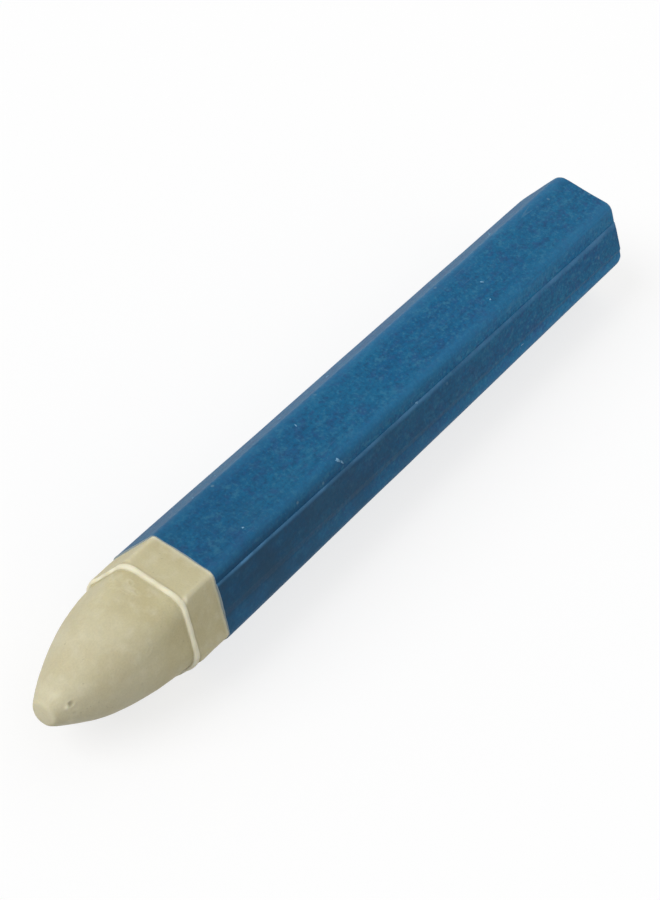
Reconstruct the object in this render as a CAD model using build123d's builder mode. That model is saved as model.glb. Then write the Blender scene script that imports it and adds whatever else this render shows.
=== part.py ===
# Tyre marking crayon: a hexagonal wax bar with a narrow shoulder and a blunt ogive nose, in a glued paper wrapper.
# Millimetres. The crayon lies on one flat, +Z is up, its axis runs along X and the nose points to -X.
# The origin is on the resting plane, under the middle of the crayon's length.
import os
from math import asin, cos, sin, sqrt

from build123d import *

# Hexagonal bar of wax
wax_across_flats = 13.7
wax_corner_radius = 0.7
bare_length = 5.8  # hexagon left bare between the wrapper and the shoulder
front_rim_radius = 0.12
rear_rim_radius = 0.3

# Nose: an ogive that rises from inside the shoulder and ends in a small dome, worn flat
shoulder_width = 0.4  # step in from the flats to the foot of the nose
nose_length = 17.5
tip_radius = 1.8
tip_wear = 0.45  # how much of the dome is worn away
tip_edge_radius = 0.4
rounding_length = 9.0  # over this much of the nose its rounded hexagon turns into a circle
foot_rounding_share = 0.45  # corner radius of the nose's section, as a share of its half width
tip_rounding_share = 0.9
ogive_shares = (0.0, 0.14, 0.3, 0.46, 0.62, 0.76, 0.88)  # stations along the ogive
dome_shares = (0.0, 0.5, 1.0)  # stations along the dome, by angle

# Paper wrapper, wound once round the bar, its outer edge glued down over its inner edge
wrapper_length = 93.4
paper_thickness = 0.15
lap_width = 4.2
lap_ramp_length = 0.6  # where the outer turn climbs over the inner edge
lap_face_angle = 150.0  # the face that carries the lap: in front, and turned half upwards

side_count = 6
wax_half_width = wax_across_flats / 2
axis_height = wax_half_width + paper_thickness
rear_x = (wrapper_length + bare_length + nose_length) / 2
wrapper_front_x = rear_x - wrapper_length
shoulder_x = wrapper_front_x - bare_length


def section_plane(x):
    """The plane across the crayon at x, with its own x towards +Y and its own y upwards."""
    return Plane(origin=(x, 0, axis_height), x_dir=(0, 1, 0), z_dir=(1, 0, 0))


def hexagon(half_width, corner_radius):
    """Add a hexagon with rounded corners to the open sketch, flats at top and bottom."""
    RegularPolygon(half_width, side_count, major_radius=False)
    fillet(vertices(), corner_radius)


def nose_stations():
    """Pairs of distance from the shoulder and half width: a large arc, level at the foot, then the dome's arc."""
    foot_half_width = wax_half_width - shoulder_width
    dome_centre = nose_length + tip_wear - tip_radius
    arc_radius = dome_centre**2 + foot_half_width**2 - tip_radius**2
    arc_radius /= 2 * (foot_half_width - tip_radius)
    dome_start = dome_centre * arc_radius / (arc_radius - tip_radius)  # the two arcs are tangent here
    dome_start_angle = asin(dome_centre / (arc_radius - tip_radius))
    dome_end_angle = asin(1 - tip_wear / tip_radius)
    stations = []
    for share in ogive_shares:
        along = share * dome_start
        stations.append((along, foot_half_width - arc_radius + sqrt(arc_radius**2 - along**2)))
    for share in dome_shares:
        angle = dome_start_angle + share * (dome_end_angle - dome_start_angle)
        stations.append((dome_centre + tip_radius * sin(angle), tip_radius * cos(angle)))
    return stations


def rounding(along):
    """Share of the half width that the nose's corner radius takes at this distance from the shoulder."""
    grown_share = min(1, along / rounding_length)
    return foot_rounding_share + grown_share * (tip_rounding_share - foot_rounding_share)


# Wax stick, moulded in one
with BuildPart() as wax_stick:
    with BuildSketch(section_plane(shoulder_x)):
        hexagon(wax_half_width, wax_corner_radius)
    extrude(amount=wrapper_length + bare_length)
    fillet(faces().sort_by(Axis.X)[0].edges(), front_rim_radius)
    fillet(faces().sort_by(Axis.X)[-1].edges(), rear_rim_radius)
    for along, half_width in nose_stations():
        with BuildSketch(section_plane(shoulder_x - along)):
            hexagon(half_width, rounding(along) * half_width)
    loft()
    fillet(faces().sort_by(Axis.X)[0].edges(), tip_edge_radius)

# Paper wrapper: one turn of paper, doubled where its edge is lapped
with BuildPart() as paper_wrapper:
    with BuildSketch(section_plane(wrapper_front_x)):
        hexagon(wax_half_width + paper_thickness, wax_corner_radius + paper_thickness)
        with PolarLocations(wax_half_width, 1, start_angle=lap_face_angle):
            Polygon(
                (0, -lap_width / 2),
                (2 * paper_thickness, -lap_width / 2),
                (2 * paper_thickness, lap_width / 2 - lap_ramp_length),
                (paper_thickness, lap_width / 2),
                (0, lap_width / 2),
            )
    extrude(amount=wrapper_length)
    with BuildSketch(section_plane(wrapper_front_x)):
        hexagon(wax_half_width, wax_corner_radius)
    extrude(amount=wrapper_length, mode=Mode.SUBTRACT)

wax_stick.part.label = "wax_stick"
paper_wrapper.part.label = "paper_wrapper"

os.makedirs("parts", exist_ok=True)
export_step(wax_stick.part, "parts/wax_stick.step")
export_step(paper_wrapper.part, "parts/paper_wrapper.step")
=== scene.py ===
import math

import bpy
import numpy as np
from mathutils import Matrix, Vector


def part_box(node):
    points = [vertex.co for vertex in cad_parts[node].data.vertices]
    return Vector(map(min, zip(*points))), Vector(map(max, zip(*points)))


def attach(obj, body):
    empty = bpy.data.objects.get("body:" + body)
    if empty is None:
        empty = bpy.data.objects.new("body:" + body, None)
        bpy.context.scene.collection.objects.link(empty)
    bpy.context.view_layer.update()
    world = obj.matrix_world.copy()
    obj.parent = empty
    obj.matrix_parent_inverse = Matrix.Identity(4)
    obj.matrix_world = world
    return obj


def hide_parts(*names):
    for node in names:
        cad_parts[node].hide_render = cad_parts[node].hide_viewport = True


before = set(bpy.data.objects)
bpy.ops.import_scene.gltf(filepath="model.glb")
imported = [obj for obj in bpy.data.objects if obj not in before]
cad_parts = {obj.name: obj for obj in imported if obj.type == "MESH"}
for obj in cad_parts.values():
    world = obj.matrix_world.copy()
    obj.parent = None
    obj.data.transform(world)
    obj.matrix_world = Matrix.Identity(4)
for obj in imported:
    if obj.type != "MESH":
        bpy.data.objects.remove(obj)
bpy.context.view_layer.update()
mm = 0.001  # the frame is in metres, and the shapes below are worked out in millimetres
faceAngle = math.pi / 3  # what one face of the hexagon takes of a full turn

# Main sizes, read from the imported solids
waxLow, waxHigh = (np.array(corner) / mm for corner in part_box("wax_stick"))
paperLow, paperHigh = (np.array(corner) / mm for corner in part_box("paper_wrapper"))
tipX, rearX, frontX = waxLow[0], waxHigh[0], paperLow[0]
paperLength = paperHigh[0] - paperLow[0]
axisZ = (paperLow[2] + paperHigh[2]) / 2
waxHalf = (waxHigh[2] - waxLow[2]) / 2  # half the width across flats
paperHalf = (paperHigh[2] - paperLow[2]) / 2
paperThickness = paperHalf - waxHalf
restZ = 0.004  # nothing dips below this, so the crayon rests on the floor without cutting it
print("frame: crayon", round(rearX - tipX, 2), "mm long,", round(2 * paperHalf, 2), "mm across flats")


# Smooth step: 0 before low, 1 after high, and 3t^2 - 2t^3 between them
def rise(value, low, high):
    t = np.clip((value - low) / (high - low), 0, 1)
    return t * t * (3 - 2 * t)


# Bell: 1 at the centre, falling as exp(-(distance / width)^2)
def bell(value, centre, width):
    return np.exp(-(((value - centre) / width) ** 2))


# Bell with a flat top: exp(-r^4)
def plateau(value):
    return np.exp(-(value**4))


# Soft unevenness of about -1 to 1: cosine waves in random directions through space, their lengths spread
# about the wavelength, added up and divided by the root of their number
def ripple(points, wavelength, seed, count=14, spread=(0.7, 1.6)):
    draw = np.random.default_rng(seed)
    heading = draw.normal(size=(count, 3))
    heading /= np.linalg.norm(heading, axis=1, keepdims=True)
    heading *= (2 * np.pi / (wavelength * draw.uniform(*spread, count)))[:, None]
    phase = draw.uniform(0, 2 * np.pi, count)
    return np.cos(points @ heading.T + phase).sum(-1) / math.sqrt(count)


# Ripples added up, each given as height, wavelength and seed
def swell(points, waves):
    return sum(height * ripple(points, wavelength, seed) for height, wavelength, seed in waves)


# Three ripples as one vector, to bend straight marks
def drift(points, wavelength, seed):
    return np.stack([ripple(points, wavelength, seed + k) for k in range(3)], -1)


# Rounded hexagon in polar form: along a flat the radius is half / cos(angle off its middle),
# and round a corner it is the outer crossing of the ray with the corner's circle
def hexRadius(angle, half, corner):
    off = np.abs(np.mod(angle, faceAngle) - faceAngle / 2)  # flats face 30, 90, 150 degrees and so on
    centre = (half - corner) / math.cos(faceAngle / 2)
    flatEnd = np.arctan((half - corner) * math.tan(faceAngle / 2) / half)
    gap = faceAngle / 2 - off
    onArc = centre * np.cos(gap) + np.sqrt(np.maximum(corner**2 - (centre * np.sin(gap)) ** 2, 0))
    return np.where(off <= flatEnd, half / np.cos(off), onArc)


# Points at a place along the axis, a radius and an angle round it
def aroundAxis(x, radius, angle):
    return np.stack([x + 0 * radius, radius * np.cos(angle), axisZ + radius * np.sin(angle)], -1)


# Columns round a hexagon, counted in faces with whole numbers at their middles: even steps within a face,
# drawn towards its two corners by a sine
def faceTurns(count, pull):
    step = (np.arange(count) + 0.5) / count * 2 - 1
    return (np.arange(6)[:, None] + (step + pull * np.sin(np.pi * step) / np.pi) / 2).ravel()


# Outward normals of a grid of closed rings: cross product of the steps along a row and from row to row
def gridNormals(points):
    around = np.roll(points, -1, axis=1) - np.roll(points, 1, axis=1)
    along = np.gradient(points, axis=0)
    normal = np.cross(along, around)
    normal /= np.maximum(np.linalg.norm(normal, axis=-1, keepdims=True), 1e-12)
    radial = points - points.mean(axis=1, keepdims=True)
    return normal * np.sign((normal * radial).sum(-1).mean())


# Distance of each point from the straight piece between two points
def segmentDistance(points, start, end):
    way = end - start
    share = np.clip(((points - start) @ way) / (way @ way), 0, 1)
    return np.linalg.norm(points - start - share[..., None] * way, axis=-1)


# Quads over rings of equal length: corner (i, j) joins (i, j+1), (i+1, j+1) and (i+1, j), and every ring
# closes; closed joins the last ring to the first as well
def ringQuads(rows, columns, closed=False):
    i = np.arange(rows if closed else rows - 1)[:, None]
    j = np.arange(columns)[None, :]
    after, beside = (i + 1) % rows, (j + 1) % columns
    quads = [i * columns + j, i * columns + beside, after * columns + beside, after * columns + j]
    return np.stack(quads, -1).reshape(-1, 4)


# Triangles that close the first and the last ring, each to a point of its own numbered after the rings
def endFans(rows, columns):
    j = np.arange(columns)
    beside, last, apex = (j + 1) % columns, (rows - 1) * columns, rows * columns
    firstFan = np.stack([beside, j, np.full(columns, apex)], -1)
    lastFan = np.stack([last + j, last + beside, np.full(columns, apex + 1)], -1)
    return np.concatenate([firstFan, lastFan])


# Mesh object from millimetre points; faces are turned outwards if their signed volume comes out negative
def meshPiece(name, points, quads, triangles=np.zeros((0, 3), int)):
    corners = np.concatenate([quads[:, :3], quads[:, [0, 2, 3]], triangles])
    a, b, c = (points[corners[:, k]] for k in range(3))
    if (a * np.cross(b, c)).sum() < 0:
        quads, triangles = quads[:, ::-1], triangles[:, ::-1]
    mesh = bpy.data.meshes.new(name)
    mesh.from_pydata((points * mm).tolist(), [], quads.tolist() + triangles.tolist())
    mesh.polygons.foreach_set("use_smooth", np.ones(len(mesh.polygons), bool))
    piece = bpy.data.objects.new(name, mesh)
    bpy.context.scene.collection.objects.link(piece)
    print("mesh:", name, len(quads) * 2 + len(triangles), "triangles")
    return piece


# Wax stick; distances count forwards from the shoulder, and angles in degrees from +Y over the top
wax = {
    "bandLength": 5.8,  # bare hexagon in front of the paper
    "cornerRadius": 0.7,
    "shoulderStep": 0.4,  # from the flats in to the nose
    "tipRadius": 1.9,
    "roundingLength": 9.0,  # the nose's hexagon has turned round after this much
    "footRounding": 0.45,  # corner radius of the nose's section, as a share of its half width
    "tipRounding": 0.9,
    "footFillet": 0.16,
    "lipProud": 0.05,  # the lip stands this far above the flats
    "lipRound": 0.34,  # radius of the lip's bead
    "lipCorner": 2.9,  # the lip's corners are rounder than the bar's
    "lipGroove": 0.015,
    "grooveLength": 0.4,
    "cornerRun": (0.3, 1.1),  # behind the shoulder, where the lip's corners turn into the bar's
    "lipTail": 1.2,  # the bar's own section is reached here
    "rearRound": 0.3,
    "rearSlack": 0.02,  # the bar is this much slimmer at its rear end
    # rows of points on each stretch of the profile
    "rows": {
        "dome": 28, "ogive": 108, "fillet": 8, "bead": 20, "groove": 14, "band": 38, "rim": 8, "rear": 34,
    },
    # the few rows under the paper, from its front edge and from the rear end: distance, how much slimmer
    "frontHidden": [(0.3, 0.06), (20.0, 0.06)],
    "rearHidden": [(20.0, 0.06), (2.0, 0.02)],
    "columnsPerFace": 60,
    "columnPull": 0.55,  # columns crowd towards the corners
    # unevenness of the whole, the nose and the lip: height, wavelength, seed
    "uneven": [(0.02, 5.5, 3), (0.008, 1.9, 4), (0.003, 0.7, 5)],
    "noseUneven": [(0.05, 11, 6)],
    "lipUneven": [(0.035, 4.5, 7), (0.03, 1.4, 8)],
    "bareRun": (-0.1, 0.5),  # it grows in here, in front of the paper's edge
    "noseRun": (0.1, 1.5),
    "lipRun": (-0.62, -0.42),
    "lipRise": (0.05, 0.18),  # outwards from the nose's foot
    # pits: distance, angle, radius, depth
    "pits": [
        (15.6, 137, 0.28, 0.16), (15.5, 163, 0.18, 0.06), (5.4, 131, 0.24, 0.03), (9.6, 102, 0.2, 0.025),
        (7.7, 168, 0.24, 0.04), (12.2, 250, 0.3, 0.08), (4.3, 300, 0.35, 0.08), (10.5, 20, 0.28, 0.06),
        (-2.6, 212, 0.3, 0.1), (-3.9, 22, 0.24, 0.07), (-0.9, 318, 0.3, 0.12),
    ],
    "pitRim": (0.15, 1.5, 0.4),  # height as a share of the depth, place and width in radii
    "pitDarkening": 5.0,  # for each millimetre of depth
    # crumbs: distance, angle, radius, height
    "crumbs": [
        (16.1, 140, 0.26, 0.09), (16.2, 96, 0.5, 0.04), (15.9, 188, 0.4, 0.04), (-0.75, 121, 0.35, 0.06),
        (6.1, 262, 0.4, 0.04),
    ],
    "crumbRub": 8.0,  # for each millimetre of height
    # ragged outlines: how much, and the seed; the length of their waves is in radii
    "pitRagged": (0.12, 10),
    "crumbRagged": (0.2, 14),
    "raggedLength": 2.2,
    # wrinkles: from distance and angle to distance and angle, half width, depth
    "wrinkles": [
        (0.9, 46, 1.4, 74, 0.17, 0.09), (1.7, 54, 2.2, 86, 0.16, 0.075), (2.6, 62, 2.9, 80, 0.14, 0.05),
        (5.0, 128, 6.3, 136, 0.14, 0.05), (8.0, 205, 10.5, 212, 0.16, 0.04), (3.0, 280, 3.8, 310, 0.18, 0.05),
        (11.0, 330, 12.6, 345, 0.15, 0.04), (1.2, 236, 2.4, 262, 0.2, 0.04),
    ],
    "wrinkleBend": (0.17, 2.6, 60),  # how far their lines wander, over what length, seed
    "wrinkleRim": (0.5, 1.8, 0.6),  # height as a share of the depth, place and width in half widths
    "wrinkleRub": 2.5,  # for each millimetre of depth
    # worn tip
    "tipWear": 0.6,  # how far the dome is worn away
    "tipLean": (0.07, -0.09),  # lean of the worn flat, to +Y and +Z
    "tipSoft": 0.15,  # how softly its edge runs out
    "tipUneven": [(0.03, 1.9, 12)],
    "tipReach": 4.0,  # the wear stops this far behind the tip
    # rear end; runs are shares of the half width
    "rearDish": 0.35,  # it has set hollow
    "dishRun": (0.2, 0.93),
    "rearUneven": [(0.035, 2.4, 13)],
    "rearUnevenRun": (0.8, 0.95),
    "shrinkHole": (0.9, -0.7, 1.1, 0.55),  # off the axis to +Y and +Z, radius, depth
    "holeRagged": (0.22, 1.6, 15),
    # painted shade: dark lines in the crevice at the nose's foot and in the groove behind the lip, as
    # strength, distance, half width; then the rear end's grime
    "paintedShadeLines": [(0.2, 0.15, 0.25), (0.5, -0.62, 0.15)],
    "holeGrime": 0.45,
    "dishGrime": 0.12,
    "dishGrimeRun": (0.3, 0.8),
    # rubbed places, the lip also a painted highlight: strength, then where
    "lipRubAndHighlight": 0.85,
    "lipRubUneven": [(0.15, 2.5, 9)],
    "tipRub": (0.16, -0.6, 0.1),  # grows in from here to here, past the worn plane
    "rimRub": (0.3, 0.95, 0.06),  # centre and half width, as shares of the half width
    "edgeRub": (0.6, 0.05, 0.3),  # distance from the paper's edge, half width
    "creaseRub": (0.25, 0.45),  # half width of the corners of the band
    "creaseRun": (-0.5, 0.0),  # it grows in at the paper's edge and out again behind the lip
    "creaseEnd": (-0.9, -0.5),
}
shoulderX = frontX - wax["bandLength"]
noseLength = shoulderX - tipX
footHalf = waxHalf - wax["shoulderStep"]  # half width of the nose at its foot
barLength = rearX - shoulderX
levelRows = 0.001  # rows nearer than this are level with each other


# Arc of the profile round a centre, less its first point: distance by the sine, half width by the cosine;
# a negative radius makes it hollow
def profileArc(centreAhead, centreHalf, radius, start, end, count):
    turn = np.linspace(start, end, count)[1:]
    return centreAhead + radius * np.sin(turn), centreHalf + radius * np.cos(turn)


# Stretches of the profile as distances and half widths: dome arc, ogive arc tangent to it and level at the
# foot, fillet, round bead of the lip, groove, band, bar under the paper, rear rim, rear face
def waxStretches():
    rows, quarter, band = wax["rows"], math.pi / 2, wax["bandLength"]
    dome, fillet, lip, rim = wax["tipRadius"], wax["footFillet"], wax["lipRound"], wax["rearRound"]
    groove, lipHalf, rimHalf = wax["lipGroove"], waxHalf + wax["lipProud"], waxHalf - wax["rearSlack"]
    domeCentre = noseLength + wax["tipWear"] - dome
    ogive = (domeCentre**2 + footHalf**2 - dome**2) / (2 * (footHalf - dome))
    meetAngle = math.asin(domeCentre / (ogive - dome))
    beadEnd = -math.acos(1 - (wax["lipProud"] + groove) / lip)
    lipEnd = lip * (1 - math.sin(beadEnd))
    grooved = np.linspace(lipEnd, wax["lipTail"], rows["groove"])[1:]
    bare = np.linspace(wax["lipTail"], band, rows["band"])[1:]
    hidden = [(band + distance, slack) for distance, slack in wax["frontHidden"]]
    hidden += [(barLength - distance, slack) for distance, slack in wax["rearHidden"]]
    hidden, slack = np.array([*hidden, (barLength - rim, wax["rearSlack"])]).T
    rear = np.linspace(rimHalf - rim, 0, rows["rear"])[1:-1]
    return [
        profileArc(domeCentre, 0, dome, quarter, meetAngle, rows["dome"]),
        profileArc(0, footHalf - ogive, ogive, meetAngle, math.asin(fillet / ogive), rows["ogive"]),
        profileArc(fillet, footHalf + fillet, -fillet, 0, quarter, rows["fillet"]),
        ([0.0], [lipHalf - lip]),  # where the shoulder's face meets the bead
        profileArc(-lip, lipHalf - lip, lip, quarter, beadEnd, rows["bead"]),
        (-grooved, waxHalf - groove * (1 - rise(grooved, lipEnd, lipEnd + wax["grooveLength"]))),
        (-bare, np.full(len(bare), waxHalf)),
        (-hidden, waxHalf - slack),
        profileArc(rim - barLength, rimHalf - rim, rim, 0, -quarter, rows["rim"]),
        (np.full(len(rear), -barLength), rear),
    ]


# The stick's profile, from tip to rear end, as three lists: distance, half width, corner radius. Up the nose
# the corner radius is a growing share of the half width, and behind the lip it falls to the bar's own.
def waxProfile():
    stretches = waxStretches()
    ahead, half = (np.concatenate(values) for values in zip(*stretches))
    rounding = np.interp(ahead, [0, wax["roundingLength"]], [wax["footRounding"], wax["tipRounding"]])
    onBar = wax["lipCorner"] + (wax["cornerRadius"] - wax["lipCorner"]) * rise(-ahead, *wax["cornerRun"])
    onRear = wax["cornerRadius"] * half / waxHalf
    corner = np.where(ahead > levelRows - barLength, onBar, onRear)
    noseRows = sum(len(values) for values, _ in stretches[:2])  # dome and ogive
    corner[:noseRows] = (rounding * half)[:noseRows]
    return ahead, half, corner


# Point of the stick at a distance and an angle, read off the profile
def waxPoint(profile, distance, degrees):
    ahead, half, corner = profile
    order = np.argsort(ahead)
    width, turned = (np.interp(distance, ahead[order], values[order]) for values in (half, corner))
    angle = np.array(math.radians(degrees))
    return aroundAxis(shoulderX - distance, hexRadius(angle, width, turned), angle)


# Distance from a mark's middle in units of its radius, made ragged by a ripple
def markReach(points, middle, size, ragged, seed):
    reach = np.linalg.norm(points - middle, axis=-1) / size
    return reach * (1 + ragged * ripple(points, wax["raggedLength"] * size, seed))


# Marks on the stick: how far each point moves outwards, how much darker it is, most in the pits, and how
# rubbed it is. Pits are flat bells with a raised rim, crumbs are bells, wrinkles are grooves along bent lines
# with raised sides.
def waxMarks(points, profile):
    move, darkening, lightening = (np.zeros(points.shape[:2]) for _ in range(3))
    rim, place, spread = wax["pitRim"]
    for distance, degrees, size, depth in wax["pits"]:
        reach = markReach(points, waxPoint(profile, distance, degrees), size, *wax["pitRagged"])
        move += depth * (rim * bell(reach, place, spread) - plateau(reach))
        darkening += depth * wax["pitDarkening"] * plateau(reach)
    for distance, degrees, size, height in wax["crumbs"]:
        reach = markReach(points, waxPoint(profile, distance, degrees), size, *wax["crumbRagged"])
        move += height * bell(reach, 0, 1)
        lightening += height * wax["crumbRub"] * bell(reach, 0, 1)
    bend, bendLength, seed = wax["wrinkleBend"]
    bent = points + bend * drift(points, bendLength, seed)
    rim, place, spread = wax["wrinkleRim"]
    for startAt, startTurn, endAt, endTurn, width, depth in wax["wrinkles"]:
        ends = [waxPoint(profile, *end) for end in ((startAt, startTurn), (endAt, endTurn))]
        reach = segmentDistance(bent, *ends) / width
        move += depth * (rim * bell(reach, place, spread) - bell(reach, 0, 1))
        lightening += depth * wax["wrinkleRub"] * bell(reach, place, spread)
    return move, darkening, lightening


# Worn tip: points past a leaning plane are drawn back to it by the soft limit -s ln(1 + exp(-past / s));
# also gives how rubbed that leaves them
def wearTip(points, onTip):
    wear = np.array([-1.0, *wax["tipLean"]])
    wear /= np.linalg.norm(wear)
    past = (points - np.array([tipX, 0, axisZ])) @ wear + swell(points, wax["tipUneven"])
    kept = -wax["tipSoft"] * np.logaddexp(0, -past / wax["tipSoft"])
    strength, start, full = wax["tipRub"]
    return points + wear * ((kept - past) * onTip)[..., None], strength * rise(past, start, full) * onTip


# Rear end: how deep an uneven dish and a flat-bottomed hole go, and how grimy they are; middle is the
# distance from the axis as a share of the half width
def rearHollow(points, middle):
    dish = wax["rearDish"] * (1 - rise(middle, *wax["dishRun"]))
    dish += swell(points, wax["rearUneven"]) * (1 - rise(middle, *wax["rearUnevenRun"]))
    holeY, holeZ, radius, depth = wax["shrinkHole"]
    ragged, raggedLength, seed = wax["holeRagged"]
    reach = np.linalg.norm(points[..., 1:] - [holeY, axisZ + holeZ], axis=-1) / radius
    hole = plateau(reach * (1 + ragged * ripple(points, raggedLength, seed)))
    darkening = wax["holeGrime"] * hole + wax["dishGrime"] * (1 - rise(middle, *wax["dishGrimeRun"]))
    return dish + depth * hole, darkening


# Rubbed corners of the band, a bell over the distance from each corner, and a rubbed line at the paper's edge
def bandRub(beforePaper, ahead, turn):
    strength, width = wax["creaseRub"]
    fold = (0.5 - np.abs(turn - np.round(turn))) * faceAngle * waxHalf / math.cos(faceAngle / 2)
    onBand = rise(beforePaper, *wax["creaseRun"]) * (1 - rise(ahead, *wax["creaseEnd"]))
    edge, edgeOff, edgeWidth = wax["edgeRub"]
    crease = strength * bell(fold, 0, width) * onBand[:, None]
    return crease + edge * bell(beforePaper, edgeOff, edgeWidth)[:, None]


# The stick: the profile turned round the axis with the hexagon's polar radius, moved along its normals by
# ripples and marks, then worn at the tip and hollowed at the rear end. Two attributes tell the finish where
# the wax is paler, rubbed and on the lip also a painted highlight, and where it is darker, in pits, in the
# rear hollow and as painted shade at the nose's foot and behind the lip.
def buildWax():
    profile = ahead, half, corner = waxProfile()
    turn = faceTurns(wax["columnsPerFace"], wax["columnPull"])
    angle = faceAngle / 2 + faceAngle * turn
    radius = hexRadius(angle[None, :], half[:, None], corner[:, None])
    points = aroundAxis(shoulderX - ahead[:, None], radius, angle)
    beforePaper = ahead + wax["bandLength"]
    bare = rise(beforePaper, *wax["bareRun"])[:, None]
    nose = rise(ahead, *wax["noseRun"])[:, None]
    lip = (rise(half - footHalf, *wax["lipRise"]) * rise(ahead, *wax["lipRun"]))[:, None]
    onTip = (ahead > noseLength - wax["tipReach"])[:, None]
    onRear = (ahead < levelRows - barLength)[:, None]
    move, darkening, lightening = waxMarks(points, profile)
    for share, waves in ((bare, "uneven"), (nose, "noseUneven"), (lip, "lipUneven")):
        move += share * swell(points, wax[waves])
    # painted shade: darker lines in the crevice at the nose's foot and in the groove behind the lip
    for strength, distance, width in wax["paintedShadeLines"]:
        darkening += strength * bell(ahead, distance, width)[:, None]
    # the lip paler: rubbed wax and a painted highlight
    lightening += lip * (wax["lipRubAndHighlight"] + swell(points, wax["lipRubUneven"])) + bandRub(beforePaper, ahead, turn)
    points, tipRub = wearTip(points + gridNormals(points) * move[..., None], onTip)
    middle = half[:, None] / waxHalf + np.zeros(radius.shape)
    hollow, hollowGrime = rearHollow(points, middle)
    points[..., 0] -= np.where(onRear, hollow, 0)
    points[..., 2] = np.maximum(points[..., 2], restZ)
    darkening += np.where(onRear, hollowGrime, 0)
    strength, place, width = wax["rimRub"]
    lightening += tipRub + np.where(onRear, strength * bell(middle, place, width), 0)
    rows, columns = radius.shape
    ends = np.stack([points[0].mean(0), points[-1].mean(0)])
    flat = np.concatenate([points.reshape(-1, 3), ends])
    piece = meshPiece("wax_crayon", flat, ringQuads(rows, columns), endFans(rows, columns))
    for name, values in (("lightening", lightening), ("darkening", darkening)):
        store = piece.data.attributes.new(name, "FLOAT", "POINT")
        store.data.foreach_set("value", np.append(np.clip(values, 0, 1).ravel(), [0, 0]).astype(np.float32))
    return piece


# Paper wrapper
paper = {
    "cornerRadius": 1.15,
    "lapFace": 2,  # faces are counted from the one at 30 degrees, so this one faces front and half upwards
    "lapWidth": 4.2,
    "lapRamp": 0.6,
    "lapPressed": 0.5,  # share of the thickness left at the glued edge
    "pressedWidth": 0.8,
    "lapSkew": 2.0125,  # from front to rear the middle of the lap's face shifts this far, its edge half of it
    # slow waves, longer along the crayon and quieter at the corners: height, wavelength, seed
    "waves": [(0.03, 9, 21), (0.012, 3.2, 22)],
    "waveStretch": 0.45,
    "cornerCalm": (0.6, 0.7),  # share of the waves lost at a corner, half width
    # lift of the lap's edge and of the front edge: height, half width, middle level, wavelength, seed
    "lapLift": (0.03, 0.5, 0.4, 12, 23),
    "frontLift": (0.03, 0.6, 0.5, 5, 24),
    "tailWear": (0.1, 0.35, 0.35),  # depth at a corner, length, share of it on the flats
    # wander of the cut front edge, and how far back it is felt
    "edgeWander": [(0.03, 2.4, 31), (0.015, 0.6, 32)],
    "wanderLength": 2.5,
    "innerSunk": 0.02,  # the inner side lies this far within the bar's own flats
    "edgeShares": (0.15, 0.85),  # rows on the cut edges, as shares of the thickness
    "columnsPerFace": 72,
    "columnPull": 0.5,
    # more columns beside the lap's edge, and on its ramp as shares of it
    "edgeColumns": (-0.09, -0.04, -0.012, 0.0, 0.012, 0.04, 0.09, 0.16, 0.26),
    "rampShares": (1.1, 1.0, 0.9, 0.5, 0.1, 0.0, -0.1),
    # rows from the front edge and from the rear edge, as start, end and number, and those between
    "frontRows": [(0.0, 0.02, 2), (0.06, 0.06, 1), (0.14, 3.0, 22)],
    "rearRows": [(2.5, 0.1, 18), (0.04, 0.0, 2)],
    "middleRows": 120,
    # what the outer side takes of the map's length, then the rows of the rear edge, inner side and front edge
    "mapOuter": (0.03, 0.93),
    "mapInner": (0.94, 0.945, 0.95, 0.98, 0.985, 0.99),
}
faceHalf = paperHalf * math.tan(faceAngle / 2)  # half the length of one side of the hexagon
lapStart, lapEnd = -paper["lapWidth"] / 2, paper["lapWidth"] / 2


# Lift of an edge: a bell over the distance from it, its height varied by a ripple
def edgeLift(points, distance, height, width, level, wavelength, seed):
    return height * bell(distance, 0, width) * (level + ripple(points, wavelength, seed))


# Outer surface of the paper at x and at a turn counted in faces. Radius of the rounded hexagon, plus one
# thickness over the lap, pressed thinner at its edge, plus slow waves and lifted edges, less the wear at the
# tail; the lap runs askew.
def paperOuter(x, turn):
    face = np.round(turn)
    across = (turn - face) * 2 * faceHalf
    along = (x - frontX) / paperLength
    onLap = np.mod(face, 6) == paper["lapFace"]
    slant = paper["lapSkew"] * (along - 0.5) * (1 - (across / faceHalf) ** 2) ** 2 * onLap
    angle = faceAngle / 2 + faceAngle * face + np.arctan((across + slant) / paperHalf)
    lap = (across > lapStart) * np.clip((lapEnd - across) / paper["lapRamp"], 0, 1) * onLap
    pressed = 1 - rise(across, lapStart, lapStart + paper["pressedWidth"])
    lap = lap * (1 - (1 - paper["lapPressed"]) * pressed)
    radius = hexRadius(angle, paperHalf, paper["cornerRadius"]) + paperThickness * lap
    points = aroundAxis(x, radius, angle)
    calm, calmWidth = paper["cornerCalm"]
    cornerNear = bell(faceHalf - np.abs(across), 0, calmWidth)
    move = swell(points * np.array([paper["waveStretch"], 1, 1]), paper["waves"]) * (1 - calm * cornerNear)
    move += lap * edgeLift(points, across - lapStart, *paper["lapLift"])
    move += edgeLift(points, x - frontX, *paper["frontLift"])
    depth, length, onFlats = paper["tailWear"]
    move -= depth * np.exp(-(frontX + paperLength - x) / length) * (onFlats + cornerNear)
    points = aroundAxis(x, radius + move, angle)
    points[..., 2] = np.maximum(points[..., 2], restZ)
    return points


# Columns of the wrapper, as turns: even ones, and more beside the lap's edge and on its ramp
def paperTurns():
    even = np.mod(faceTurns(paper["columnsPerFace"], paper["columnPull"]), 6)
    beside = lapStart + np.array(paper["edgeColumns"])
    ramp = lapEnd - paper["lapRamp"] * np.array(paper["rampShares"])
    extra = paper["lapFace"] + np.concatenate([beside, ramp]) / (2 * faceHalf)
    return np.unique(np.round(np.concatenate([even, extra]), 6))


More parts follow.
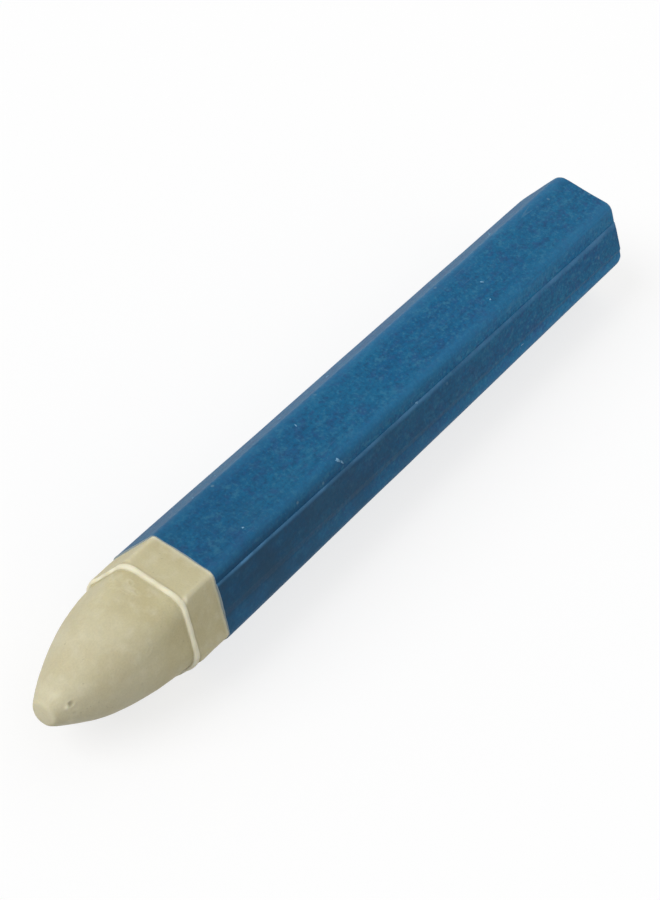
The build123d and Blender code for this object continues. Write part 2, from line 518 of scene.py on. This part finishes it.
# Rows of the wrapper, as x: close together at both edges, even between them
def paperRows():
    front = [frontX + np.linspace(*stretch) for stretch in paper["frontRows"]]
    rear = [frontX + paperLength - np.linspace(*stretch) for stretch in paper["rearRows"]]
    middle = np.linspace(front[-1][-1], rear[0][0], paper["middleRows"] + 2)[1:-1]
    return np.concatenate([*front, middle, *rear])


# Map of rows and columns that close: u by row and v by column, and 1 in place of the first value on the faces
# that join the last row or column to the first
def layMap(mesh, u, v):
    corner = np.zeros(len(mesh.loops), int)
    mesh.loops.foreach_get("vertex_index", corner)
    side = np.repeat(np.arange(len(mesh.polygons)), 4)
    places = []
    for index, values in ((corner // len(v), u), (corner % len(v), v)):
        first, last = ((np.bincount(side, index == k) > 0)[side] for k in (0, len(values) - 1))
        places.append(np.where(first & last & (index == 0), 1.0, values[index]))
    mesh.uv_layers.new(name="wrap").data.foreach_set("uv", np.stack(places, -1).astype(np.float32).ravel())


# The wrapper: the outer surface over rows of x, closed through the rear edge, the inner side and the front
# edge, whose rows wander a little, as a cut edge does. Also gives the turn where the map starts.
def buildPaper():
    x, turn = paperRows(), paperTurns()
    outer = paperOuter(x[:, None] + 0 * turn, turn[None, :])
    angle = np.arctan2(outer[..., 2] - axisZ, outer[..., 1])
    nearFront = 1 - rise(x, frontX, frontX + paper["wanderLength"])
    outer[..., 0] += swell(outer, paper["edgeWander"]) * nearFront[:, None]
    reach = hexRadius(angle, waxHalf - paper["innerSunk"], wax["cornerRadius"])
    inner = aroundAxis(outer[..., 0], reach, angle)
    rearEdge = [outer[-1] * (1 - share) + inner[-1] * share for share in paper["edgeShares"]]
    frontEdge = [inner[0] * (1 - share) + outer[0] * share for share in paper["edgeShares"]]
    points = np.concatenate([outer, np.stack([*rearEdge, inner[-1], inner[0], *frontEdge])])
    rows, columns = points.shape[:2]
    piece = meshPiece("paper_sleeve", points.reshape(-1, 3), ringQuads(rows, columns, closed=True))
    low, high = paper["mapOuter"]
    u = np.concatenate([low + (high - low) * (x - frontX) / paperLength, paper["mapInner"]])
    layMap(piece.data, u, (turn - turn[0]) / 6)
    return piece, turn[0]


# Flecks of wax stuck to the paper
flecks = {
    # distance from the front edge, turn in faces, half length, half width, lean in degrees, height
    "seen": [
        (25.3, 1.53, 0.42, 0.26, 60, 0.12), (25.85, 1.61, 0.42, 0.13, 64, 0.07),
        (42.2, 1.745, 0.3, 0.15, 10, 0.07), (65.9, 0.98, 0.26, 0.15, 40, 0.07),
        (63.8, 1.285, 0.2, 0.12, 150, 0.05), (26.2, 0.7, 0.22, 0.09, 110, 0.05),
        (66.5, 2.32, 0.36, 0.09, 5, 0.04), (8.1, 1.3, 0.18, 0.12, 30, 0.04),
    ],
    # others at random on the other faces
    "others": 20,
    "seed": 41,
    "halfLength": (0.1, 0.26),
    "widthShare": (0.4, 0.9),
    "heightShare": 0.25,
    "turns": (2.6, 5.3),
    "skip": (3.45, 1.1),  # past this turn they go on by this much, so that none is under the crayon
    "margin": 4,  # they keep this far from the paper's ends
    "rings": 6,
    "columns": 18,
    "ragged": [(3, 0.22, 1.0), (5, 0.14, 2.3)],  # waves round the outline: number, height, shift by fleck
    "lumps": (0.25, 4, 5),  # height, number round, turn of the waves from middle to rim
    "domePower": 0.6,
    "topShare": 1.05,  # height of the middle point
    "rimSunk": 0.05,  # the rim and the underside sink this far into the paper
    "baseSunk": 0.06,
    "steps": (0.05, 0.0125),  # steps along and in turns that give the paper's normal
}


# Places of all flecks, one row each: those seen, then the random ones
def fleckPlaces():
    draw = np.random.default_rng(flecks["seed"])
    count, margin = flecks["others"], flecks["margin"]
    length = draw.uniform(*flecks["halfLength"], count)
    turned = draw.uniform(*flecks["turns"], count)
    limit, onward = flecks["skip"]
    turned += onward * (turned > limit)
    distance = draw.uniform(margin, paperLength - margin, count)
    width = length * draw.uniform(*flecks["widthShare"], count)
    lean = draw.uniform(0, 180, count)
    others = np.stack([distance, turned, length, width, lean, length * flecks["heightShare"]], -1)
    return np.concatenate([np.array(flecks["seen"], float), others])


# Point of the paper and its normal there: cross product of two small steps on the surface, turned outwards
def paperNormal(x, turn):
    step, turnStep = flecks["steps"]
    nearX, nearTurn = np.array([[x, x + step, x]]), np.array([[turn, turn, turn + turnStep]])
    middle, stepX, stepTurn = paperOuter(nearX, nearTurn)[0]
    up = np.cross(stepX - middle, stepTurn - middle)
    up /= np.linalg.norm(up)
    return middle, up * np.sign(up @ (middle - np.array([middle[0], 0, axisZ])))


# Each fleck is a disc of rings laid on the paper: its surface at an offset, lifted along its normal by
# height * (1 - r^2)^power with lumps, the rim sunk in the paper and the underside closed by one point
def buildFlecks():
    rings, columns = flecks["rings"], flecks["columns"]
    r = np.linspace(0, 1, rings + 1)[1:][:, None]
    a = np.linspace(0, 2 * np.pi, columns, endpoint=False)[None, :]
    lumpHeight, lumpWaves, lumpTurn = flecks["lumps"]
    dome, rimSunk = (1 - r**2) ** flecks["domePower"], flecks["rimSunk"] * (r == 1)
    allPoints, allQuads, allFans, base = [], [], [], 0
    for number, (distance, turn, longHalf, wideHalf, lean, height) in enumerate(fleckPlaces()):
        ragged = 1 + sum(size * np.cos(waves * a + shift * number) for waves, size, shift in flecks["ragged"])
        p, q = longHalf * r * np.cos(a) * ragged, wideHalf * r * np.sin(a) * ragged
        c, s, x = math.cos(math.radians(lean)), math.sin(math.radians(lean)), frontX + distance
        ground = paperOuter(x + p * c - q * s, turn + (p * s + q * c) / (2 * faceHalf))
        middle, up = paperNormal(x, turn)
        lumps = 1 + lumpHeight * np.cos(lumpWaves * a + lumpTurn * r + number)
        raised = ground + (height * dome * lumps - rimSunk)[..., None] * up
        ends = [middle + flecks["topShare"] * height * up, middle - flecks["baseSunk"] * up]
        allPoints += [raised.reshape(-1, 3), ends]
        allQuads.append(base + ringQuads(rings, columns))
        allFans.append(base + endFans(rings, columns))
        base += rings * columns + 2
    points, quads, fans = (np.concatenate(parts) for parts in (allPoints, allQuads, allFans))
    return meshPiece("wax_flecks", points, quads, fans)


# Inputs of a shader node: each gets a value, or the output that feeds it
def setInputs(node, inputs):
    for key, value in inputs.items():
        if isinstance(value, bpy.types.NodeSocket):
            node.id_data.links.new(value, node.inputs[key])
        else:
            node.inputs[key].default_value = value


# A new shader node with its inputs and options, in the tree of the outputs that feed it
def shaderNode(kind, inputs, **options):
    tree = next(value.id_data for value in inputs.values() if isinstance(value, bpy.types.NodeSocket))
    made = tree.nodes.new(kind)
    for key, value in options.items():
        setattr(made, key, value)
    setInputs(made, inputs)
    return made


# One operation on two numbers
def calc(operation, first, second=0.0):
    return shaderNode("ShaderNodeMath", {0: first, 1: second}, operation=operation).outputs[0]


# Product of numbers
def times(first, *others):
    for other in others:
        first = calc("MULTIPLY", first, other)
    return first


# Sum of numbers
def plus(first, *others):
    for other in others:
        first = calc("ADD", first, other)
    return first


# How far a number is from another
def away(value, centre):
    return calc("ABSOLUTE", calc("SUBTRACT", value, centre))


# Smooth step from least at low to most at high
def fade(value, low, high, least=0.0, most=1.0):
    inputs = {0: value, 1: low, 2: high, 3: least, 4: most}
    return shaderNode("ShaderNodeMapRange", inputs, interpolation_type="SMOOTHSTEP").outputs[0]


# Strip of a strength: it fades in from low to lowFull, and out from highFull to high
def strip(value, low, lowFull, highFull, high, strength=1.0):
    return times(fade(value, low, lowFull, 0, strength), fade(value, high, highFull))


# Blend of two colours by a factor
def tint(factor, first, second, mode="MIX"):
    inputs = {0: factor, 6: first, 7: second}
    return shaderNode("ShaderNodeMix", inputs, data_type="RGBA", blend_type=mode).outputs[2]


# Grey of a level: the same in red, green and blue
def grey(level):
    return shaderNode("ShaderNodeCombineColor", {0: level, 1: level, 2: level}).outputs[0]


# Colour multiplied by a level
def shaded(colour, level):
    return tint(1.0, colour, grey(level), "MULTIPLY")


# Noise with features of this size in the unit of its vector, metres unless unit says otherwise; a stretch
# below 1 draws them out along that axis
def grain(vector, size, detail=2.0, roughness=0.5, stretch=None, lean=0.0, unit=mm):
    if stretch:
        inputs = {"Vector": vector, "Scale": stretch, "Rotation": (0, 0, math.radians(lean))}
        vector = shaderNode("ShaderNodeMapping", inputs).outputs[0]
    inputs = {"Vector": vector, "Scale": 1 / (size * unit), "Detail": detail, "Roughness": roughness}
    return shaderNode("ShaderNodeTexNoise", inputs).outputs["Fac"]


# Coats of colour one over the other: as a noise goes from low to high, a tone comes in up to its share
def coats(colour, look, level, name):
    for noise, low, high, share, tone in look[name]:
        colour = tint(fade(level[noise], low, high, 0, share), colour, look[tone])
    return colour


# Relief of a height in millimetres, laid over other relief if that is given
def relief(level, strength, height, under=None):
    inputs = {"Strength": strength, "Distance": height * mm, "Height": level}
    if under:
        inputs["Normal"] = under
    return shaderNode("ShaderNodeBump", inputs).outputs[0]


# A value stored on the mesh
def stored(material, name):
    made = material.node_tree.nodes.new("ShaderNodeAttribute")
    made.attribute_name = name
    return made.outputs["Fac"]


# A new material with its shader, the place in the object and the noises that its look lists
def newMaterial(name, look):
    material = bpy.data.materials.new(name)
    material.use_nodes = True
    tree = material.node_tree
    place = tree.nodes.new("ShaderNodeTexCoord").outputs["Object"]
    level = {noise: grain(place, *values) for noise, values in look["grain"].items()}
    return material, tree.nodes["Principled BSDF"], place, level


# Main inputs of a finish: its colour, its roughness by a noise, its shine and its relief
def finishLook(shader, look, colour, noise, normal):
    roughness, shine = fade(noise, *look["roughness"]), look["specular"]
    inputs = {"Base Color": colour, "Roughness": roughness, "Specular IOR Level": shine, "Normal": normal}
    setInputs(shader, inputs)


waxLook = {
    "colour": (0.668, 0.618, 0.422, 1),
    "warm": (0.628, 0.568, 0.368, 1),
    "pale": (0.72, 0.672, 0.485, 1),
    # paler tone for rubbed wax, also the lip's painted highlight
    "rubbedAndHighlight": (0.93, 0.88, 0.67, 1),
    # darker tone for dirt specks, pits, the rear hollow and the painted shade lines
    "darkTone": (0.36, 0.32, 0.20, 1),
    "aged": (0.95, 0.935, 0.84, 1),  # what the band and the nose beside it keep of the colour
    "agedRun": (11, 1, 1, 5),  # it fades in in front of the shoulder, and out behind the paper's edge
    # noises: size in millimetres, detail, roughness
    "grain": {"patches": (5.0, 3), "cloud": (1.4, 3), "fine": (0.22, 3, 0.6), "specks": (0.5, 2, 0.6)},
    # coats: noise, from, to, share, tone
    "patchCoats": [("patches", 0.38, 0.66, 1.0, "warm")],
    "bloomCoats": [("cloud", 0.45, 0.75, 0.5, "pale")],
    "speckCoats": [("specks", 0.69, 0.76, 0.4, "darkTone")],
    "darkeningShare": 0.6,
    # a noise from here to here gives values from here to here
    "fineShade": (0.3, 0.7, 0.965, 1.035),
    "roughness": (0.3, 0.7, 0.48, 0.62),
    "specular": 0.35,
    "depthShare": 0.2,  # share of the light that goes into the wax
    "depth": 0.8,  # how far, and the shares of that for red, green and blue
    "depthColours": (1.0, 0.7, 0.35),
    "cloudRelief": (0.5, 0.03),  # strength, height
    "fineRelief": (0.5, 0.012),
}


# Satin wax: close ivory tones in soft patches, yellower on the band and the nose beside it, paler where it is
# rubbed, with a painted highlight on the lip, darker in pits, painted shade at the nose's foot and behind the
# lip, faint grain
def makeWaxLook():
    look = waxLook
    material, shader, place, level = newMaterial("ivory wax", look)
    x = shaderNode("ShaderNodeSeparateXYZ", {0: place}).outputs[0]
    start, full, fullEnd, end = look["agedRun"]
    run = (shoulderX - start, shoulderX - full, frontX + fullEnd, frontX + end)
    aged = strip(x, *(at * mm for at in run))
    colour = coats(look["colour"], look, level, "patchCoats")
    colour = tint(aged, colour, tint(1.0, colour, look["aged"], "MULTIPLY"))
    colour = coats(colour, look, level, "bloomCoats")
    colour = shaded(colour, fade(level["fine"], *look["fineShade"]))
    colour = coats(colour, look, level, "speckCoats")
    # darker in pits and the rear hollow, and painted shade at the nose's foot and behind the lip
    colour = tint(times(stored(material, "darkening"), look["darkeningShare"]), colour, look["darkTone"])
    # paler where rubbed, and a painted highlight on the lip
    colour = tint(stored(material, "lightening"), colour, look["rubbedAndHighlight"])
    soft = relief(level["cloud"], *look["cloudRelief"])
    finishLook(shader, look, colour, level["cloud"], relief(level["fine"], *look["fineRelief"], soft))
    setInputs(shader, {
        "Subsurface Weight": look["depthShare"],
        "Subsurface Radius": look["depthColours"],
        "Subsurface Scale": look["depth"] * mm,
    })
    return material


fleckLook = {
    "colour": (0.22, 0.45, 0.66, 1),
    "dull": (0.11, 0.29, 0.48, 1),
    "grain": {"fine": (0.2, 3, 0.6)},
    "dullCoats": [("fine", 0.4, 0.65, 1.0, "dull")],
    "roughness": (0.3, 0.7, 0.5, 0.7),
    "specular": 0.3,
    "fineRelief": (0.5, 0.02),
}


# Smeared wax: pale and dull tones in fine grain, the paper's blue showing through the thin places
def makeFleckLook():
    look = fleckLook
    material, shader, place, level = newMaterial("fleck wax", look)
    colour = coats(look["colour"], look, level, "dullCoats")
    finishLook(shader, look, colour, level["fine"], relief(level["fine"], *look["fineRelief"]))
    return material


paperLook = {
    "blue": (0.003, 0.112, 0.27, 1),
    "teal": (0.005, 0.136, 0.288, 1),
    "violet": (0.022, 0.09, 0.238, 1),
    "light": (0.038, 0.2, 0.34, 1),
    "deep": (0.006, 0.058, 0.152, 1),
    "worn": (0.14, 0.27, 0.38, 1),
    # tone for rubbed corners, also their painted sheen
    "rubbedAndHighlight": (0.03, 0.185, 0.37, 1),
    "lapLine": (0.1, 0.29, 0.53, 1),
    # tone of the glue stain, also painted shade
    "stainAndShade": (0.006, 0.065, 0.145, 1),
    "frontDarkTone": (0.018, 0.068, 0.13, 1),
    "cut": (0.30, 0.36, 0.40, 1),
    # noises: size in millimetres, detail, roughness, stretch
    "grain": {
        "blotch": (4.0, 3, 0.5, (0.35, 1, 1)),
        "hue": (3.0, 2),
        "fine": (0.32, 3, 0.65),
        "fibre": (0.35, 2, 0.5, (0.3, 1, 1)),
        "flicker": (0.8, 2, 0.55, (0.7, 1, 1)),
        "streak": (0.8, 2, 0.6, (0.03, 1, 1)),
        "mottle": (0.85, 3, 0.6, (0.65, 1, 1)),
        "speckle": (0.42, 2, 0.6),
        "fluff": (0.45, 3, 0.7),
        "rubbing": (2.2, 3, 0.5, (0.25, 1, 1)),
        "cornerBreaks": (1.1, 3, 0.6, (0.5, 1, 1)),
        "darkeningPatches": (3.5, 4, 0.65, (0.6, 1, 1)),
        "lapBreaks": (1.9, 3, 0.6, (0.35, 1, 1)),
    },
    # coats: noise, from, to, share, tone
    "groundCoats": [("blotch", 0.35, 0.65, 1.0, "teal"), ("hue", 0.52, 0.72, 0.4, "violet")],
    "toneCoats": [
        ("flicker", 0.5, 0.7, 0.6, "violet"), ("flicker", 0.5, 0.3, 0.6, "teal"),
        ("streak", 0.52, 0.74, 0.28, "light"), ("streak", 0.48, 0.26, 0.28, "deep"),
        ("mottle", 0.52, 0.74, 0.7, "light"), ("mottle", 0.48, 0.26, 0.42, "deep"),
        ("speckle", 0.52, 0.74, 0.6, "light"), ("speckle", 0.48, 0.26, 0.55, "deep"),
        ("fluff", 0.56, 0.8, 0.1, "worn"),
    ],
    # a noise from here to here gives values from here to here
    "fineShade": (0.3, 0.7, 0.88, 1.12),
    "fibreShade": (0.3, 0.7, -0.08, 0.08),
    "rubbingShare": (0.3, 0.6, 0.5, 1.0),
    "cornerBreaksShare": (0.46, 0.66),
    "darkeningPatchesShare": (0.25, 0.7, 0.55, 1.0),
    "lapBreaksShare": (0.36, 0.66, 0.45, 1.0),
    "roughness": (0.3, 0.7, 0.48, 0.62),
    # by the distance from a corner: from, to, least, most; the wider band is rubbed paper and a painted sheen
    "cornerRubAndSheen": (1.7, 0.2, 0, 0.5),
    "cornerLine": (0.32, 0.05, 0, 0.35),
    # by the distance from the front edge: from, to, and the strengths there
    # darker towards the front: the lap's face, and a little all round
    "lapGrimeRun": (80, 5, 0.05, 0.95),
    "frontGrimeRun": (45, 0, 0, 0.3),
    # painted light: the strip above the lap's edge and the side face lighter towards the rear edge
    "aboveRun": (25, 70, 0, 0.14),
    "cleanRun": (35, 75, 1.0, 1.14),
    # glue stain and painted shade, strongest at the front
    "stainAndShadeRun": (32, 4, 0, 0.65),
    "lineRun": (12, 60, 0.75, 0.7),
    "brightPlace": 7.0,  # the line is brighter about here
    "brightRun": (4.0, 1.0, 0, 0.6),
    # round from the lap's edge and down its face: where a strip starts, is full, is full no longer and ends
    "lapStrip": (-0.12, 0.1, 5.8, 6.8),
    # painted light: the lower strip of the side face lighter
    "belowStrip": (3.9, 4.6, 5.9, 6.3, 0.3),  # and its strength
    "aboveStrip": (-2.6, -1.6, -0.1, 0.0),
    "cleanStrip": (-2.6, -1.6, 6.0, 6.8),
    "stainAndShadeStrip": (-1.2, -0.6, -0.12, 0.0),
    "lineStrip": (-0.03, 0.01, 0.15, 0.75),
    # hairline scratches: lean, stretch, size of their patches
    "hairs": [(14, 0.05, 9.7), (-52, 0.08, 6.4)],
    "hairSize": 1.6,
    "hairWidth": (0.018, 0.005, 0, 0.25),
    "hairPatch": (0.66, 0.74),
    "scuffSpacing": 5.5,
    "scuffSize": (0.055, 0.02),
    "scuffChance": (0.78, 0.98, 0, 0.6),
    "frontCut": (0.02, -0.02),
    "rearCut": (0.1, 0.4),  # past the rear edge
    "specular": 0.14,
    "blotchRelief": (0.6, 0.03),  # strength, height
    "fibreRelief": (0.6, 0.02),
}


# Ground of the paper: blue and teal in long blotches with some violet, shaded by fine grain and fibres,
# then flickering hues, light and deep streaks and mottle, and pale fluff
def paperGround(level):
    look = paperLook
    colour = coats(look["blue"], look, level, "groundCoats")
    shades = [fade(level[name], *look[name + "Shade"]) for name in ("fine", "fibre")]
    colour = shaded(colour, plus(*shades))
    return coats(colour, look, level, "toneCoats")


# Corners of the wrapper: lighter in soft patches, rubbed and with a painted sheen, and, on the fold itself,
# in a broken rubbed line
def paperCorners(colour, level, cornerFar):
    look = paperLook
    for zone, noise in (("cornerRubAndSheen", "rubbing"), ("cornerLine", "cornerBreaks")):
        patchy = fade(level[noise], *look[noise + "Share"])
        # corners lighter: rubbed paper, and in the wider band a painted sheen
        colour = tint(times(fade(cornerFar, *look[zone]), patchy), colour, look["rubbedAndHighlight"])
    return colour


# The lap: its face darker towards the front, as is the whole wrapper a little; painted light in lighter
# strips over and under it, and over its face towards the rear edge; a faint glue stain with painted shade
# above its edge, darker towards the front; and a pale broken line along that edge. Each is a strip round from
# the edge times a run along it.
def paperLap(colour, level, along, past):
    look = paperLook
    names = ("above", "clean", "stainAndShade", "line")
    zone = {name: strip(past, *look[name + "Strip"]) for name in ("lap", "below", *names)}
    run = {name: fade(along, *look[name + "Run"]) for name in ("lapGrime", "frontGrime", *names)}
    patchy = {name: fade(level[name], *look[name + "Share"]) for name in ("darkeningPatches", "lapBreaks")}
    # darker towards the front, over the lap's face and a little all round, in patches
    darkening = calc("MAXIMUM", times(zone["lap"], run["lapGrime"]), run["frontGrime"])
    colour = tint(times(darkening, patchy["darkeningPatches"]), colour, look["frontDarkTone"])
    above, clean, stainAndShade = (times(zone[name], run[name]) for name in names[:3])
    # painted light: the lower strip lighter, and the strip above the edge and the side face lighter towards
    # the rear edge
    colour = shaded(colour, plus(zone["below"], above, calc("MAXIMUM", clean, 1.0)))
    # glue stain and painted shade above the lap's edge, darker towards the front
    colour = tint(stainAndShade, colour, look["stainAndShade"])
    bright = fade(away(along, look["brightPlace"]), *look["brightRun"])
    line = times(zone["line"], patchy["lapBreaks"], plus(run["line"], bright))
    return tint(line, colour, look["lapLine"])


# Hairline scratches, where a stretched noise crosses its middle within a few patches, and small scuffs in the
# middles of randomly chosen cells
def paperScuffs(colour, place, flat):
    look = paperLook
    for lean, stretch, patchSize in look["hairs"]:
        level = grain(flat, look["hairSize"], 0, 0.5, (stretch, 1, 1), lean, 1)
        hair = fade(away(level, 0.5), *look["hairWidth"])
        patch = fade(grain(place, patchSize, 1), *look["hairPatch"])
        colour = tint(times(hair, patch), colour, look["worn"])
    inputs = {"Vector": flat, "Scale": 1 / look["scuffSpacing"]}
    cell = shaderNode("ShaderNodeTexVoronoi", inputs, voronoi_dimensions="2D").outputs
    chance = shaderNode("ShaderNodeSeparateColor", {0: cell["Color"]}).outputs[0]
    chosen = fade(chance, *look["scuffChance"])
    scuff = times(fade(cell["Distance"], *look["scuffSize"]), chosen)
    return tint(scuff, colour, look["worn"])


# Blue paper: its ground, corners rubbed and with a painted sheen, lap with its painted light and shade, and
# scuffs one over the other, and pale cut edges; the map gives millimetres along from the front edge and round
# from the middle of face 0
def makePaperLook(turnStart):
    look = paperLook
    material, shader, place, level = newMaterial("blue paper", look)
    wrap = material.node_tree.nodes.new("ShaderNodeUVMap")
    wrap.uv_map = "wrap"
    low, high = paper["mapOuter"]
    span, girth = paperLength / (high - low), 12 * faceHalf
    laidOut = {"Location": (-low * span, girth * turnStart / 6, 0), "Scale": (span, girth, 1)}
    flat = shaderNode("ShaderNodeMapping", {"Vector": wrap.outputs[0], **laidOut}).outputs[0]
    split = shaderNode("ShaderNodeSeparateXYZ", {0: flat}).outputs
    along, around = split[0], split[1]
    inFace = calc("FRACT", calc("DIVIDE", around, 2 * faceHalf))
    cornerFar = times(away(inFace, 0.5), 2 * faceHalf)  # from the nearest corner
    edgeRound = paper["lapFace"] * 2 * faceHalf + lapStart
    past = calc("SUBTRACT", around, edgeRound)  # positive on the outer turn of paper
    colour = paperGround(level)
    colour = paperCorners(colour, level, cornerFar)
    colour = paperLap(colour, level, along, past)
    colour = paperScuffs(colour, place, flat)
    frontCut = fade(along, *look["frontCut"])
    rearCut = fade(along, *(paperLength + at for at in look["rearCut"]))
    colour = tint(calc("MAXIMUM", frontCut, rearCut), colour, look["cut"])
    coarse = relief(level["blotch"], *look["blotchRelief"])
    fibres = plus(level["fine"], level["fibre"])
    finishLook(shader, look, colour, level["fine"], relief(fibres, *look["fibreRelief"], coarse))
    return material


crayon = buildWax()
crayon.data.materials.append(makeWaxLook())
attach(crayon, "root")
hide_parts("wax_stick")
print("piece: wax stick with lip, worn tip, pits and wrinkles")

sleeve, firstTurn = buildPaper()
sleeve.data.materials.append(makePaperLook(firstTurn))
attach(sleeve, "root")
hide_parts("paper_wrapper")
print("piece: paper wrapper with its lap")

specks = buildFlecks()
specks.data.materials.append(makeFleckLook())
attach(specks, "root")
print("piece: flecks of wax on the paper")

# Studio
studio = {
    "floorReach": 4.0,  # metres to each side
    "floorTiles": 4,
    "floorTint": 0.42,  # what the floor gives back to the object
    "floorShown": 0.30,  # lit part of the floor that the camera sees, so that the shadow stays
    "floorGlow": 0.738,
    "sky": 0.475,
    # soft suns: name, strength, degrees across, direction that the light comes from
    "suns": [
        ("soft key", 1.56, 38, (-0.66, 0.4, 0.64)),
        ("soft fill", 0.12, 70, (-0.2, -0.9, 0.4)),
        ("rear fill", 0.4, 70, (0.95, 0.1, 0.3)),
    ],
}


# Finish of the floor: pale to the camera and to reflections, duller to the light that it gives back
def makeFloorLook():
    material = bpy.data.materials.new("pale floor")
    material.use_nodes = True
    tree = material.node_tree
    tree.nodes.clear()
    path = tree.nodes.new("ShaderNodeLightPath").outputs
    mirrored = calc("MAXIMUM", path["Is Glossy Ray"], path["Is Transmission Ray"])
    seen = calc("MAXIMUM", path["Is Camera Ray"], mirrored)
    level = fade(seen, 0, 1, studio["floorTint"], studio["floorShown"])
    matt = shaderNode("ShaderNodeBsdfDiffuse", {"Color": grey(level)}).outputs[0]
    shine = {"Color": (1, 1, 1, 1), "Strength": times(seen, studio["floorGlow"])}
    lit = shaderNode("ShaderNodeEmission", shine).outputs[0]
    both = shaderNode("ShaderNodeAddShader", {0: matt, 1: lit}).outputs[0]
    tree.links.new(both, tree.nodes.new("ShaderNodeOutputMaterial").inputs["Surface"])
    return material


# Floor: a flat square grid at height 0, where the crayon rests
def buildFloor():
    reach, tiles = studio["floorReach"], studio["floorTiles"]
    side = np.linspace(-reach, reach, tiles + 1)
    x, y = np.meshgrid(side, side, indexing="ij")
    points = np.stack([x, y, 0 * x], -1).reshape(-1, 3)
    first = (np.arange(tiles)[:, None] * (tiles + 1) + np.arange(tiles)).reshape(-1, 1)
    quads = first + np.array([0, tiles + 1, tiles + 2, 1])
    mesh = bpy.data.meshes.new("floor")
    mesh.from_pydata(points.tolist(), [], quads.tolist())
    floor = bpy.data.objects.new("floor", mesh)
    bpy.context.scene.collection.objects.link(floor)
    mesh.materials.append(makeFloorLook())


# Light: an even sky, white to the camera, and the soft suns, each turned to shine from its direction
def buildLight():
    world = bpy.data.worlds.new("studio")
    bpy.context.scene.world = world
    world.use_nodes = True
    tree = world.node_tree
    path = tree.nodes.new("ShaderNodeLightPath").outputs
    strength = fade(path["Is Camera Ray"], 0, 1, studio["sky"], 1.0)
    setInputs(tree.nodes["Background"], {"Color": (1, 1, 1, 1), "Strength": strength})
    for name, energy, degrees, source in studio["suns"]:
        sun = bpy.data.objects.new(name, bpy.data.lights.new(name, "SUN"))
        sun.data.energy = energy
        sun.data.angle = math.radians(degrees)
        sun.rotation_mode = "QUATERNION"
        sun.rotation_quaternion = Vector(source).to_track_quat("Z", "Y")
        bpy.context.scene.collection.objects.link(sun)


# Camera, in degrees and millimetres
shot = {
    "azimuth": -69.0,
    "elevation": 42.0,
    "roll": 17.6,
    "distance": 320.0,
    "target": (-2.0, 0.14),  # x and y; it looks at the height of the axis
    "lens": 108.3,
    "clip": (0.01, 50),  # metres
}


# Camera on a sphere round its target: back is the unit vector at azimuth and elevation, and the picture is
# rolled about it
def buildCamera():
    azimuth, elevation, roll = (math.radians(shot[key]) for key in ("azimuth", "elevation", "roll"))
    level = math.cos(elevation)
    back = Vector((math.sin(azimuth) * level, -math.cos(azimuth) * level, math.sin(elevation)))
    right = Vector((0, 0, 1)).cross(back).normalized()
    up = back.cross(right)
    x = math.cos(roll) * right + math.sin(roll) * up
    y = math.cos(roll) * up - math.sin(roll) * right
    turned = Matrix((x, y, back)).transposed()
    camera = bpy.data.objects.new("camera", bpy.data.cameras.new("camera"))
    camera.data.lens = shot["lens"]
    camera.data.clip_start, camera.data.clip_end = shot["clip"]
    camera.matrix_world = turned.to_4x4()
    camera.location = (Vector((*shot["target"], axisZ)) + back * shot["distance"]) * mm
    bpy.context.scene.collection.objects.link(camera)
    bpy.context.scene.camera = camera


buildFloor()
buildLight()
buildCamera()
bpy.context.scene.view_settings.view_transform = "Standard"
print("stage: floor, soft light and camera")

bpy.context.view_layer.update()
